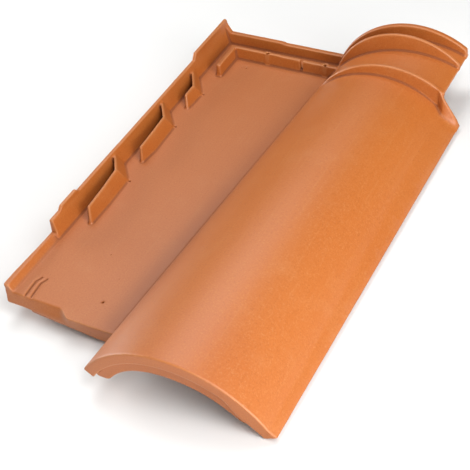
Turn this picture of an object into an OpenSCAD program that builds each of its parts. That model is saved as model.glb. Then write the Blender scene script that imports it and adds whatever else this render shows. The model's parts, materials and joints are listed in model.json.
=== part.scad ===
// Interlocking clay roof tile: a flat water pan on the left, a large tapered roll on the right,
// raised edge walls, three water deflectors, a double head weather-bar and a stepped roll neck.
// One pressed and fired piece. Stored lying roll-up on a level floor, +Y towards the head end.
// Inside the tile's own frame: X = 0 is the left wall's outer face, Y = 0 the roll's front face,
// Z = 0 the top of the pan. rest() then lays that frame on the floor.

/* [Overall] */
// Length of the tile, roll front to head end
tile_l = 470; // [420:1:500]
// Width of the tile, left wall to the roll's right edge
tile_w = 289.4; // [270:0.2:320]

/* [Pan] */
// Thickness of the pan
pan_t = 12; // [9:0.5:15]
// Set-back of the pan's front edge at the left
pan_front_left = 55.5; // [50:0.5:70]
// Set-back of the pan's front edge at the right
pan_front_right = 46.8; // [40:0.2:50]
// Where the front edge's sideways step begins, from the left
pan_step_x = 57; // [40:1:80]
// Sideways run of the front edge's step
pan_step_run = 13; // [6:1:18]
// How far the lower half of the front face stands forward at the left
front_lean = 3.2; // [0:0.2:5]
// Depth of the front lip below the pan's underside
lip_drop = 4.5; // [2:0.5:8]
// Distance of the front lip's left end from the left wall's outer face
lip_in = 24; // [10:1:40]
// Distance of the front lip's rear face behind the pan's front edge at the left
lip_l = 8; // [4:0.5:8.5]
// Distance of the front lip's right end from the roll's right edge
lip_out = 170; // [170:0.2:200]

/* [Left wall] */
// Thickness of the left wall at its foot
wall_t = 8; // [6:0.5:10]
// Thickness of the left wall at its top
wall_top_t = 3.8; // [3:0.1:5]
// Height of the low front part of the wall
wall_low_h = 6.4; // [4:0.2:10]
// Height of the middle part of the wall
wall_mid_h = 19.8; // [15:0.2:22]
// Height of the wall at the head
wall_head_h = 26.5; // [23:0.5:30]
// Where the wall steps up from low to middle
wall_step_y = 128.3; // [110:0.5:138]
// Start of the small raised tab
tab_y = 145; // [140:1:160]
// Length of the raised tab
tab_l = 27; // [15:1:35]
// Height of the tab above the middle wall
tab_h = 3.7; // [2:0.1:5]
// Distance of the head step of the wall from the head end
wall_head_l = 72; // [50:1:90]

/* [Water deflectors] */
// Distance from the left wall's outer face to the deflector's far face
hook_x = 24.5; // [20:0.5:32]
// Thickness of a deflector
hook_t = 3; // [2.6:0.2:5]
// Front ends of the three deflectors
hook_y = [156.3, 250.2, 341.5];
// Straight lengths of the three deflectors
hook_l = [64, 60, 27.5];
// Heights of the three deflectors
hook_h = [16.8, 16.4, 13.5];
// Run of each deflector's slanted end back to the wall
hook_slant = 20; // [14:1:26]

/* [Head bars] */
// Thickness of the back wall
back_t = 6; // [4:0.5:8]
// Height of the back wall at the left
back_h = 12.7; // [9:0.1:16]
// Height of the back wall beside the roll
back_low_h = 11.4; // [8:0.1:14]
// Where the back wall steps down
back_step_x = 69.5; // [50:0.5:90]
// Sideways run of that step
back_step_run = 6; // [3:0.5:10]
// Distance of the inner bar's front face from the head end
bar_back = 30; // [26:0.5:36]
// Sideways run of the back wall's fall beyond the left wall
corner_run = 0.6; // [0.2:0.1:3]
// Thickness of the inner bar
bar_t = 5; // [4:0.2:6]
// Height of the inner bar
bar_h = 13; // [10:0.2:16]
// Length of the inner bar's short leg along the wall
bar_leg = 36; // [20:1:40]
// Width of the drain slit in the inner bar
slit_w = 2.6; // [2:0.1:4]
// Distance of the drain slit from the roll's right edge
slit_in = 186.4; // [176:0.2:200]

/* [Nail holes] */
// Radius of a nail hole
nail_r = 1.6; // [1.4:0.1:2.4]
// Radius of the boss round a nail hole
boss_r = 3.8; // [3.4:0.1:5]
// Distance of a nail hole's axis behind the inner bar's front face
nail_back = 3; // [2.5:0.1:4]
// Position of the left nail hole from the left
nail_left_x = 65; // [55:1:80]
// Distance of the right nail hole from the roll's right edge
nail_right_in = 158.4; // [158:0.2:176]

/* [Roll] */
// Wall thickness of the roll
roll_t = 10.5; // [9:0.5:12]
// Outer radius of the roll at the front
roll_r1 = 99.7; // [97:0.1:102]
// Outer radius of the roll where its neck begins
roll_r2 = 86.5; // [84:0.1:90]
// Height of the roll's crown above the pan at the front
crown1 = 53.5; // [50:0.1:56]
// Height of the roll's crown above the pan at the neck
crown2 = 46.3; // [44:0.1:48]
// Distance of the crown line from the right edge at the front
crown_in1 = 87.4; // [85:0.2:90]
// Distance of the crown line from the right edge at the neck
crown_in2 = 80; // [78:0.2:82]
// Sideways size of the slanted face along the right edge
edge_face_w = 11.2; // [9:0.2:13]
// Height of that face above the pan, outer corner
edge_top = 7.4; // [6:0.1:9]
// Height of that face above the pan, inner corner
edge_low = 1.8; // [1:0.1:4]
// Width of the straight skirt beside the right edge
skirt_w = 21.4; // [18:0.2:24]
// Height of the top of the skirt above the pan
skirt_top = 23.5; // [20:0.5:26]
// Set-back of the stiffening rib inside the roll from its front face
brace_y = 6; // [4:0.5:12]
// Length of the stiffening rib along the roll
brace_l = 10; // [6:0.5:16]
// Depth of the stiffening rib inside the roll, from the outer face
brace_t = 26; // [15:0.5:28]
// Height of the stiffening rib's left end above the pan
brace_left_z = -1; // [-2:0.5:8]
// Height of the stiffening rib's right end above the pan
brace_right_z = 3; // [3:0.5:10]

/* [Roll neck] */
// Length of the neck behind the roll, to the head end
neck_l = 70.4; // [55:0.2:85]
// Set-back of the neck's right edge from the roll's right edge
neck_in = 17.1; // [12:0.1:20]
// Outer radius of the neck
neck_r = 111; // [108:0.5:114]
// Height of the neck's crown above the pan
neck_crown = 49.5; // [47:0.1:51]
// Distance of the neck's crown from the roll's right edge
neck_crown_in = 61.2; // [58:0.2:66]
// Height of the knife edge along the neck's right side
neck_edge_z = 37.8; // [36:0.1:39]
// Thickness of the two ribs on the neck
rib_t = 4; // [3.4:0.2:6]
// Radius of the front rib
rib1_r = 87.5; // [85:0.5:90]
// Crown height of the front rib above the pan
rib1_crown = 58.2; // [56:0.1:60]
// Radius of the rear rib
rib2_r = 78; // [76:0.5:80]
// Crown height of the rear rib above the pan
rib2_crown = 65.9; // [64:0.1:67]
// Radius of the end wall's top
end_r = 88.8; // [86:0.2:92]
// Crown height of the end wall above the pan
end_crown = 63.6; // [62:0.1:65]
// Distance of the ribs' crowns from the roll's right edge
rib_crown_in = 71; // [68:0.5:74]

/* [Hanging nib] */
// Left side of the nib from the left wall's outer face
nib_x = 45; // [30:1:60]
// Width of the nib
nib_w = 40; // [25:1:50]
// Length of the nib along the tile
nib_l = 16; // [10:1:24]
// Distance of the nib's hanging face from the head end
nib_back = 50; // [40:1:60]

/* [Hidden] */
clay = [0.80, 0.49, 0.33];
far = 130;
over = 20;
sink = 1;
// level of the front lip's underside
lip_z = -(pan_t + lip_drop);
nail_right_x = tile_w - nail_right_in;
slit_x = tile_w - slit_in;
// roll ends
roll_l = tile_l - neck_l;
x1 = tile_w - crown_in1;
x2 = tile_w - crown_in2;
z1 = crown1 - roll_r1;
z2 = crown2 - roll_r2;
// neck
neck_x = tile_w - neck_in;
neck_cx = tile_w - neck_crown_in;
neck_cz = neck_crown - neck_r;
rib_cx = tile_w - rib_crown_in;
// right edge
edge_x = tile_w - edge_face_w;
skirt_slope = (skirt_top - edge_top) / skirt_w;
// length over which the skirt rises to the notch at the neck
shoulder_l = 32;
// free left end of the roll in front of the pan: outer and inner corner, from the crown
foot_dx = 82;
foot_z = 9.5;
foot_run = 6.2;
foot_fall = 7.1;
foot_x = x1 - foot_dx;
// the pan reaches in under the roll's left flank, where the hollow cuts it
pan_reach = x2 - 55;
bar_y = tile_l - bar_back;
// the roll's hollow at a station y: centre and radius
function roll_x(y) = x1 + (x2 - x1) * y / roll_l;
function roll_z(y) = z1 + (z2 - z1) * y / roll_l;
function roll_r(y) = roll_r1 + (roll_r2 - roll_r1) * y / roll_l;
// x of the hollow's left wall at height z and station y
function hollow_x(y, z) = roll_x(y) - sqrt(pow(roll_r(y) - roll_t, 2) - pow(z - roll_z(y), 2));
// the corner of the front lip that the tile lies on
lip_x = tile_w - lip_out;
contact_x = min(lip_x, hollow_x(pan_front_left + lip_l, lip_z));
// the tile tips towards its roll until the right edge and the lip both touch
rest_tilt = atan((edge_low - lip_z) / (edge_x - contact_x));
// the nib ends on the same resting plane
nib_end_x = nib_x + nib_w;
nib_z = edge_low - (edge_x - nib_end_x) * tan(rest_tilt);
// box of the tilted tile, for an origin at its bottom centre
rest_left = -pan_t * sin(rest_tilt);
rest_right = tile_w * cos(rest_tilt) + edge_top * sin(rest_tilt);
rest_low = edge_low * cos(rest_tilt) - edge_x * sin(rest_tilt);

// solid along +Y with its outline drawn in the X-Z plane
module along(y, l)
    translate([0, y + l, 0]) rotate([90, 0, 0]) linear_extrude(height = l) children();

// round bar or cone along the roll, from station ya to yb, thinner than the roll by t
module roll_core(t) {
    dx = x2 - x1;
    dz = z2 - z1;
    len = sqrt(dx * dx + roll_l * roll_l + dz * dz);
    k = over / len;
    translate([x1 - dx * k, -roll_l * k, z1 - dz * k])
        rotate([asin(dz / len) - 90, 0, -atan2(dx, roll_l)])
            cylinder(
                h = len * (1 + 2 * k),
                r1 = roll_r1 - t - (roll_r2 - roll_r1) * k,
                r2 = roll_r2 - t + (roll_r2 - roll_r1) * k,
                $fn = 160
            );
}

// cylinder along +Y with its axis at x, z
module bar(x, z, r, y, l)
    translate([x, y, z]) rotate([-90, 0, 0]) cylinder(h = l, r = r, $fn = 160);

// flat pan: the upper half has the stepped front edge, the lower half a straight one
module pan() {
    lean_y = pan_front_left - front_lean;
    rear_y = pan_front_left + lip_l;
    difference() {
        union() {
            translate([0, 0, -pan_t])
                linear_extrude(height = pan_t)
                    polygon([
                        [0, pan_front_left],
                        [pan_step_x, pan_front_left],
                        [pan_step_x + pan_step_run, pan_front_right],
                        [pan_reach, pan_front_right],
                        [pan_reach, tile_l],
                        [0, tile_l]
                    ]);
            translate([0, 0, -pan_t])
                linear_extrude(height = pan_t / 2)
                    polygon([
                        [0, lean_y],
                        [pan_reach, pan_front_right],
                        [pan_reach, rear_y],
                        [0, rear_y]
                    ]);
            translate([0, 0, lip_z])
                linear_extrude(height = lip_drop + sink)
                    polygon([
                        [lip_in, lean_y],
                        [lip_x, pan_front_right + front_lean / 2],
                        [lip_x, rear_y],
                        [lip_in, rear_y]
                    ]);
        }
        hollow();
    }
}

// everything that the roll's underside removes: the tapered roll, then the neck
module hollow() {
    intersection() {
        roll_core(roll_t);
        translate([0, -over, -far]) cube([tile_w + far, over + roll_l + rib_t, 2 * far]);
    }
    bar(neck_cx, neck_cz, neck_r - roll_t, roll_l + rib_t, neck_l);
}

// outline that keeps the roll's shell: right edge face, and down to the pan's underside
module roll_outline() {
    polygon([
        [x1 - far, -pan_t],
        [x1, -pan_t],
        [x1, edge_low],
        [edge_x, edge_low],
        [tile_w, edge_top],
        [tile_w, far],
        [x1 - far, far]
    ]);
}

// the same outline for the roll's nose, which ends free in front of the pan
module nose_outline() {
    polygon([
        [foot_x - foot_run, foot_z + foot_fall],
        [foot_x, foot_z],
        [foot_x + foot_run * 2.5, foot_z - foot_fall * 2.5],
        [x1, edge_low],
        [edge_x, edge_low],
        [tile_w, edge_top],
        [tile_w, far],
        [foot_x - foot_run, far]
    ]);
}

// tapered roll: shell and inner brace
module roll() {
    difference() {
        union() {
            intersection() {
                roll_core(0);
                along(0, pan_front_right) nose_outline();
            }
            intersection() {
                roll_core(0);
                along(pan_front_right, roll_l - pan_front_right) roll_outline();
            }
        }
        roll_core(roll_t);
    }
    difference() {
        intersection() {
            roll_core(0.5 * roll_t);
            along(brace_y, brace_l) brace_outline();
        }
        roll_core(brace_t);
    }
}

// the brace stops a little short of the roll's two lower edges
module brace_outline() {
    drop = (foot_z - brace_left_z) / foot_fall;
    polygon([
        [foot_x, foot_z],
        [foot_x + foot_run * drop + 1, brace_left_z],
        [x1, brace_left_z],
        [x1, brace_right_z],
        [edge_x - 4, brace_right_z],
        [edge_x - 4, foot_z + 2],
        [x1 + far, foot_z + 2],
        [x1 + far, far],
        [foot_x, far]
    ]);
}

// straight strip that carries the roll's right edge
module skirt() {
    along(0, roll_l)
        polygon([
            [edge_x, edge_low],
            [tile_w, edge_top],
            [tile_w - skirt_w, skirt_top],
            [tile_w - skirt_w - edge_face_w, skirt_top - edge_top + edge_low]
        ]);
}

// short rise of the skirt up to the neck's level, ending in the notched corner
module shoulder() {
    rise = atan((neck_edge_z - skirt_top + 3) / shoulder_l);
    fall = atan(skirt_slope);
    intersection() {
        along(roll_l - shoulder_l, shoulder_l)
            polygon([
                [edge_x - sink, edge_low + sink],
                [tile_w - 0.1, edge_top],
                [tile_w - 2.2, edge_top + 6.5],
                [neck_x, neck_edge_z],
                [neck_x - 5, neck_edge_z - 7],
                [neck_x - 10, skirt_top + 4],
                [neck_x - 10, skirt_top - 9]
            ]);
        translate([tile_w - skirt_w, roll_l - shoulder_l, skirt_top])
            rotate([rise, 0, 0]) rotate([0, fall, 0])
                translate([-far, -far, -2 * far]) cube([2 * far, 3 * far, 2 * far]);
    }
}

// outline that the neck keeps, with a knife edge along the right
module neck_outline() {
    polygon([
        [x1 - far, -pan_t],
        [neck_x - 30, -pan_t],
        [neck_x - 16, neck_edge_z - 9],
        [neck_x, neck_edge_z],
        [neck_x, far],
        [x1 - far, far]
    ]);
}

// outline that the front rib keeps: it closes the step between roll and neck
module rib_outline() {
    polygon([
        [x1 - far, -pan_t],
        [x1, -pan_t],
        [x1, edge_low],
        [neck_x, edge_low],
        [neck_x, far],
        [x1 - far, far]
    ]);
}

// neck with its two ribs and the end wall
module neck() {
    difference() {
        union() {
            intersection() {
                union() {
                    bar(rib_cx, rib1_crown - rib1_r, rib1_r, roll_l, rib_t);
                    bar(neck_cx, neck_cz, neck_r, roll_l, rib_t);
                }
                along(roll_l, rib_t) rib_outline();
            }
            intersection() {
                union() {
                    bar(neck_cx, neck_cz, neck_r, roll_l + rib_t, neck_l - rib_t);
                    bar(rib_cx, rib2_crown - rib2_r, rib2_r, bar_y + 3, rib_t);
                    bar(rib_cx + 2.6, end_crown - end_r, end_r, tile_l - back_t, back_t);
                }
                along(roll_l + rib_t, neck_l - rib_t) neck_outline();
            }
        }
        hollow();
    }
}

// left wall with its steps and tab, thinner towards its top
module left_wall() {
    head_y = tile_l - wall_head_l;
    intersection() {
        translate([wall_t, 0, 0])
            rotate([0, -90, 0])
                linear_extrude(height = wall_t)
                    polygon([
                        [-sink, pan_front_left],
                        [wall_low_h, pan_front_left],
                        [wall_low_h, wall_step_y],
                        [wall_mid_h, wall_step_y],
                        [wall_mid_h, tab_y - 2],
                        [wall_mid_h + tab_h, tab_y + 2],
                        [wall_mid_h + tab_h, tab_y + tab_l - 2],
                        [wall_mid_h, tab_y + tab_l + 2],
                        [wall_mid_h, head_y - 2],
                        [wall_head_h, head_y + 2],
                        [wall_head_h, tile_l - back_t],
                        [-sink, tile_l - back_t]
                    ]);
        union() {
            along(0, wall_step_y) wall_section(wall_low_h);
            along(wall_step_y, tile_l - wall_step_y) wall_section(wall_mid_h);
        }
    }
}

// drafted section that reaches its top thickness at height h and keeps it above
module wall_section(h)
    polygon([
        [0, -sink],
        [wall_t, -sink],
        [wall_t, 0],
        [wall_top_t, h],
        [wall_top_t, far],
        [0, far]
    ]);

// one water deflector: straight rib, then a slant back to the wall
module deflector(y, l, h) {
    a = hook_x - hook_t;
    translate([0, 0, -sink])
        linear_extrude(height = h + sink)
            polygon([
                [a, y],
                [hook_x, y],
                [hook_x, y + l],
                [wall_t - sink, y + l + hook_slant + hook_t],
                [wall_t - sink, y + l + hook_slant - hook_t],
                [a, y + l - hook_t]
            ]);
}

// back wall, falling from the left wall's top and stepping down towards the roll
module back_wall() {
    end_x = x2 - 60;
    along(tile_l - back_t, back_t)
        polygon([
            [0, -sink],
            [end_x, -sink],
            [end_x, back_low_h],
            [back_step_x + back_step_run, back_low_h],
            [back_step_x, back_h],
            [wall_t + corner_run, back_h],
            [0, wall_head_h]
        ]);
}

// inner weather bar at the head, with its short leg and drain slit
module inner_bar() {
    end_x = x2 - 60;
    difference() {
        translate([0, 0, -sink])
            linear_extrude(height = bar_h + sink)
                polygon([
                    [hook_x, bar_y - bar_leg],
                    [hook_x + 4, bar_y - bar_leg],
                    [hook_x + 4, bar_y],
                    [end_x, bar_y],
                    [end_x, bar_y + bar_t],
                    [hook_x, bar_y + bar_t]
                ]);
        translate([slit_x, bar_y - sink, 0.4 * bar_h]) cube([slit_w, bar_t + 2 * sink, bar_h]);
    }
}

// boss round one nail hole
module boss(x)
    translate([x, bar_y + nail_back, -sink]) cylinder(h = bar_h + sink, r = boss_r, $fn = 48);

// hanging nib under the head end
module nib()
    translate([nib_x, tile_l - nib_back, nib_z]) cube([nib_w, nib_l, sink - pan_t - nib_z]);

// the whole tile in its own frame
module tile() {
    difference() {
        union() {
            pan();
            left_wall();
            for (i = [0:2]) deflector(hook_y[i], hook_l[i], hook_h[i]);
            back_wall();
            inner_bar();
            boss(nail_left_x);
            boss(nail_right_x);
            nib();
            roll();
            skirt();
            shoulder();
            neck();
        }
        nail_hole(nail_left_x);
        nail_hole(nail_right_x);
    }
}

// nail hole through boss and pan
module nail_hole(x)
    translate([x, bar_y + nail_back, -pan_t - over])
        cylinder(h = pan_t + bar_h + 2 * over, r = nail_r, $fn = 32);

// lays the tile on the floor, origin at the bottom centre of its box
module rest()
    translate([-(rest_left + rest_right) / 2, -tile_l / 2, -rest_low])
        rotate([0, rest_tilt, 0])
            children();

module roof_tile() color(clay) rest() tile();

roof_tile();
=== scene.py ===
"""Interlocking clay roof tile, one pressed and fired piece, lying roll-up on a pale studio floor.

The tile is worked out in its own frame, in millimetres: X = 0 is the left wall's outer face, Y = 0 the
roll's front face and Z = 0 the top of the pan. Each sub-assembly gives its signed distance on one shared
lattice, as whole numpy arrays: a profile carried along a path, or a surface of turning. They flow into
each other with soft fillets, as pressed clay does, so the tile is one closed skin. It is then laid on the
floor at its resting tilt.
"""

import json
import logging
import math
from dataclasses import dataclass, field
from enum import Enum

import bpy
import numpy as np
from mathutils import Matrix, Vector

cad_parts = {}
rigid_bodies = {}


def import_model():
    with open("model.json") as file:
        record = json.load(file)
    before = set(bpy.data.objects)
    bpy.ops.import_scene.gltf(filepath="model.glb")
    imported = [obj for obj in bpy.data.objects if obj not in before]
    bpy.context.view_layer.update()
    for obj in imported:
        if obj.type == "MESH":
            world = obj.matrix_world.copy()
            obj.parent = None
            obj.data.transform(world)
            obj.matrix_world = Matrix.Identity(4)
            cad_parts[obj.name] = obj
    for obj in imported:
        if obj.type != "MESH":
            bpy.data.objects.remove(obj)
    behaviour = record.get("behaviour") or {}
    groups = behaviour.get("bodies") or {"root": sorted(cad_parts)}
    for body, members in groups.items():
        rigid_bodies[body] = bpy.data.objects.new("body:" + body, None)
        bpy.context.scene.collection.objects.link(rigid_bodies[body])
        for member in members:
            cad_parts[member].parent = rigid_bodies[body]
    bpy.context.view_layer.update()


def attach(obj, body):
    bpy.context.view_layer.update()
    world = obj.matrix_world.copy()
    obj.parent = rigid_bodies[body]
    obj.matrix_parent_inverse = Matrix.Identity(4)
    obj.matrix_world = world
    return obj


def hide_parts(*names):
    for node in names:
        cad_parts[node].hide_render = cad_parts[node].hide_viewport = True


log = logging.getLogger("roof_tile")

Array = np.ndarray
Point = tuple[float, float, float]
Flat = tuple[float, float]
Cut = tuple[slice, ...]
Socket = bpy.types.NodeSocket

FAR = 60.0  # distance that stands for empty space, mm
WIDTH, LENGTH = 289.4, 470.0  # the tile across and along, mm
UNDERSIDE = -12.0  # the pan's underside, mm
ROOTED = -3.0  # how far down the standing parts reach into the pan, mm
EDGE_FOOT, EDGE_TIP = (278.2, 1.8), (WIDTH, 7.4)  # both ends of the right edge's lower face, mm
CORNERS = [(n & 1, (n >> 1) & 1, n >> 2) for n in range(8)]  # of a lattice cell
# attributes for rubbed edges with their painted edge highlight and painted crease shade, for painted
# shade in hollows, pockets and bores, and for the valley's painted shade
SHADES = ("edge_wear_highlight_crease_shade", "hollow_painted_shade", "valley_shade")  # the skin's attributes that the clay reads


class Tone(Enum):
    """The clay's colours, as sRGB hex."""

    PAN = "#AA602D"
    ROLL = "#AC5F24"
    # paler clay for random mottling, and for rubbed edges with a painted edge highlight
    PALE = "#C08A5C"
    # painted shade for inner creases, hollows, pockets and bores
    DEEP_SHADE = "#642C0B"
    # painted shade for the valley beside the roll
    SHADE = "#7E3F14"
    EMBER = "#A2521A"
    GRIT_DARK = "#88481C"
    GRIT_PALE = "#C1935D"
    FLOOR = "#E2E2E1"
    SKY = "#FFFFFF"


def linear(tone: Tone) -> tuple[float, float, float, float]:
    """Turns an sRGB hex colour into linear light.

    Args:
        tone: the colour to turn.

    Returns:
        Linear red, green and blue, with an alpha of one.
    """
    parts = [int(tone.value[i : i + 2], 16) / 255 for i in (1, 3, 5)]
    lin = [c / 12.92 if c <= 0.04045 else ((c + 0.055) / 1.055) ** 2.4 for c in parts]
    return (lin[0], lin[1], lin[2], 1.0)


def meet(a: Array, b: Array, soft: float) -> Array:
    """Distance of what two shapes share, with an outer edge rounded by `soft`, mm.

    Formula: the larger of the two distances, plus a parabola a quarter of `soft` high where they are
    equal that fades out where they differ by `soft`.
    """
    h = np.maximum(soft - np.abs(a - b), 0) / soft
    return np.maximum(a, b) + h * h * (soft * 0.25)


def fuse(a: Array, b: Array, soft: float) -> Array:
    """Distance of two shapes together, with a fillet of size `soft`, mm: meet() turned inside out."""
    return -meet(-a, -b, soft)


def beyond(u: Array, v: Array, a: Flat, b: Flat) -> Array:
    """Distance past the straight line from a to b, positive on its right-hand side.

    Formula: the offset from a, dotted with the line's unit normal.

    Args:
        u: first coordinate of the points.
        v: second coordinate of the points.
        a: start of the line.
        b: end of the line.

    Returns:
        Signed distance from the line, mm.
    """
    du, dv = b[0] - a[0], b[1] - a[1]
    length = math.hypot(du, dv)
    return ((u - a[0]) * dv - (v - a[1]) * du) / length


def stroke(u: Array, v: Array, a: tuple, b: tuple) -> Array:
    """Squared distance from the straight stroke a to b.

    Formula: the squared offset from the point's projection onto the stroke, clamped between its ends.

    Args:
        u: first coordinate of the points.
        v: second coordinate of the points.
        a: start of the stroke, numbers or arrays.
        b: its end.

    Returns:
        The squared distance.
    """
    eu, ev = b[0] - a[0], b[1] - a[1]
    t = np.clip(((u - a[0]) * eu + (v - a[1]) * ev) / (eu * eu + ev * ev), 0, 1)
    return (u - a[0] - t * eu) ** 2 + (v - a[1] - t * ev) ** 2


def outline_distance(u: Array, v: Array, corners: tuple[Flat, ...]) -> Array:
    """Signed distance from a closed outline, negative inside.

    Formula: the least distance to any side; the sign flips once for each side that a ray to the right
    crosses.

    Args:
        u: first coordinate of the points.
        v: second coordinate of the points.
        corners: the outline's corners in order.

    Returns:
        Signed distance, mm.
    """
    best = np.full(np.broadcast(u, v).shape, 1e9, dtype=np.float32)
    sign = np.ones_like(best)
    for (au, av), (bu, bv) in zip(corners, corners[1:] + corners[:1]):
        best = np.minimum(best, stroke(u, v, (au, av), (bu, bv)))
        spans = (av > v) != (bv > v)
        cross = au + (v - av) * ((bu - au) / (bv - av) if bv != av else 0.0)
        sign = np.where(spans & (u < cross), -sign, sign)
    return sign * np.sqrt(best)


def rise(x: Array, a: float, b: float) -> Array:
    """Smooth step from 0 at a to 1 at b: t * t * (3 - 2 t), with t the clamped fraction of the way."""
    t = np.clip((x - a) / (b - a), 0, 1)
    return t * t * (3 - 2 * t)


def splay(y: Array, z: Array) -> Array:
    """How far the left side leans out near the front corner, mm.

    Formula: the height above the pan's underside times the slope 0.11, capped at the low wall's top, and
    faded out by a smooth step over the first part of the wall.
    """
    return 0.11 * np.clip(z - UNDERSIDE, 0, 18.5) * (1 - rise(y, 62.0, 128.0))


def between(u: Array, a: float, b: float) -> Array:
    """Distance outside the band from a to b: how far u is from its middle, less half its width."""
    return np.abs(u - (a + b) / 2) - (b - a) / 2


def outward(azimuth: float, elevation: float) -> Vector:
    """Unit direction out from the tile; the azimuth counts from the front to the right, in degrees."""
    az, el = math.radians(azimuth), math.radians(elevation)
    return Vector((math.sin(az) * math.cos(el), -math.cos(az) * math.cos(el), math.sin(el)))


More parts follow.
